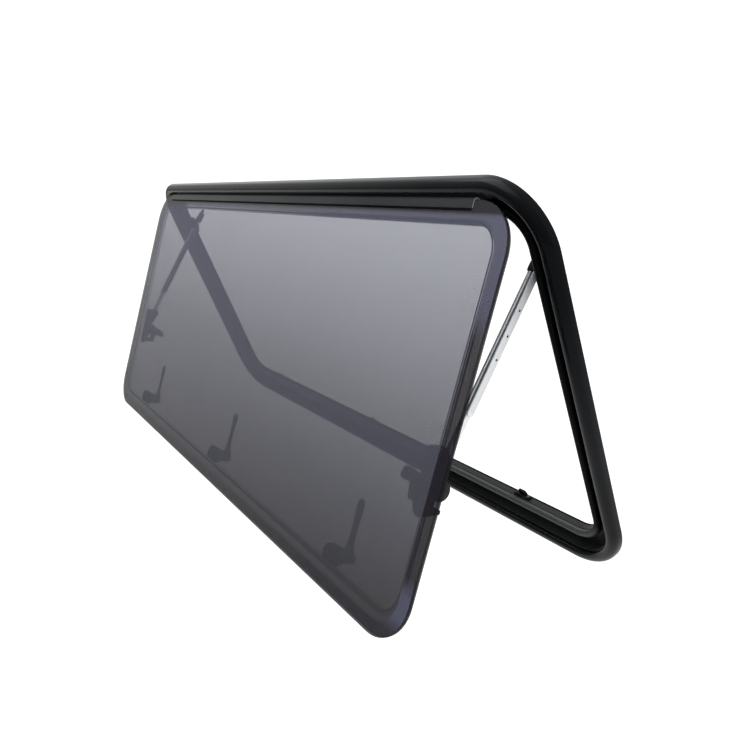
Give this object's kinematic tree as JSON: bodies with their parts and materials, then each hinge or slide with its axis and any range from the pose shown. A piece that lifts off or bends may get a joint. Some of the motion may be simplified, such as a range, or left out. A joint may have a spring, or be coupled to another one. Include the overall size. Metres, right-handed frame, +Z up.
{
  "type": "caravan window",
  "caption": "Top-hung push-out caravan window, shown open: black rounded frame, smoked double acrylic pane, telescopic side stays and turn latches.",
  "frame": {"origin": "on the wall-seating face of the flange, at the middle of the bottom rail", "axes": "+X to the right seen from outside, -Y towards the outside, +Z up"},
  "size_m": [1, 0.3143, 0.456],
  "materials": {
    "frame_black": "satin black",
    "frame_inner": "satin",
    "seal_rubber": "smooth",
    "acrylic_outer": "polished smoked acrylic",
    "acrylic_inner": "polished smoked acrylic",
    "bond_dark": "satin",
    "hinge_profile": "satin black",
    "fitting_black": "moulded",
    "lever_black": "moulded",
    "stay_aluminium": "satin anodised"
  },
  "bodies": {
    "frame": {"frame_bead": "frame_black", "frame_throat": "frame_inner", "recess_liner": "seal_rubber", "bulb_seal": "seal_rubber", "hinge_rail": "frame_inner", "keeper_left": "fitting_black", "keeper_mid": "fitting_black", "keeper_right": "fitting_black", "stay_mount_left": "fitting_black", "stay_mount_right": "fitting_black"},
    "pane": {"outer_sheet": "acrylic_outer", "inner_sheet": "acrylic_inner", "sheet_spacer": "bond_dark", "hinge_strip": "hinge_profile", "pane_bracket_left": "fitting_black", "pane_bracket_right": "fitting_black", "latch_base_left": "fitting_black", "latch_base_mid": "fitting_black", "latch_base_right": "fitting_black", "latch_pad_left": "fitting_black", "latch_pad_mid": "fitting_black", "latch_pad_right": "fitting_black"},
    "lever_left": {"latch_lever_left": "lever_black"},
    "lever_mid": {"latch_lever_mid": "lever_black"},
    "lever_right": {"latch_lever_right": "lever_black"},
    "stay_left": {"stay_channel_left": "stay_aluminium", "stay_cap_left": "fitting_black"},
    "rod_left": {"stay_rod_left": "stay_aluminium"},
    "knob_left": {"clamp_knob_left": "lever_black"},
    "stay_right": {"stay_channel_right": "stay_aluminium", "stay_cap_right": "fitting_black"},
    "rod_right": {"stay_rod_right": "stay_aluminium"},
    "knob_right": {"clamp_knob_right": "lever_black"}
  },
  "joints": [
    {"name": "pane_hinge", "type": "hinge", "parent": "frame", "child": "pane", "pos_m": [0, 0.0016, 0.4268], "axis": [-1, 0, 0], "range_deg": [-39.92, 10]},
    {"name": "latch_left", "type": "hinge", "parent": "pane", "child": "lever_left", "pos_m": [-0.341, -0.23282, 0.12408], "axis": [0, -0.7669, 0.6417], "range_deg": [-90, 0]},
    {"name": "latch_mid", "type": "hinge", "parent": "pane", "child": "lever_mid", "pos_m": [0, -0.23282, 0.12408], "axis": [0, -0.7669, 0.6417], "range_deg": [-90, 0]},
    {"name": "latch_right", "type": "hinge", "parent": "pane", "child": "lever_right", "pos_m": [0.341, -0.23282, 0.12408], "axis": [0, -0.7669, 0.6417], "range_deg": [-90, 0]},
    {"name": "stay_pivot_left", "type": "hinge", "parent": "frame", "child": "stay_left", "pos_m": [-0.4534, 0.0122, 0.3542], "axis": [-1, 0, 0], "range_deg": [-51.6, 13.2]},
    {"name": "stay_slide_left", "type": "slide", "parent": "stay_left", "child": "rod_left", "axis": [0, -0.8054, -0.5927], "range_m": [-0.0345, 0.0088]},
    {"name": "clamp_left", "type": "hinge", "parent": "pane", "child": "knob_left", "pos_m": [-0.42, -0.16209, 0.21485], "axis": [1, 0, 0], "range_deg": [0, 50]},
    {"name": "stay_pivot_right", "type": "hinge", "parent": "frame", "child": "stay_right", "pos_m": [0.4534, 0.0122, 0.3542], "axis": [-1, 0, 0], "range_deg": [-51.6, 13.2]},
    {"name": "stay_slide_right", "type": "slide", "parent": "stay_right", "child": "rod_right", "axis": [0, -0.8054, -0.5927], "range_m": [-0.0345, 0.0088]},
    {"name": "clamp_right", "type": "hinge", "parent": "pane", "child": "knob_right", "pos_m": [0.42, -0.16209, 0.21485], "axis": [1, 0, 0], "range_deg": [0, 50]}
  ],
  "couplings": [
    {"joint": "stay_pivot_left", "follows": "pane_hinge", "ratio": 1.284},
    {"joint": "stay_slide_left", "follows": "pane_hinge", "m_per_rad": 0.0486},
    {"joint": "stay_pivot_right", "follows": "pane_hinge", "ratio": 1.284},
    {"joint": "stay_slide_right", "follows": "pane_hinge", "m_per_rad": 0.0486}
  ]
}
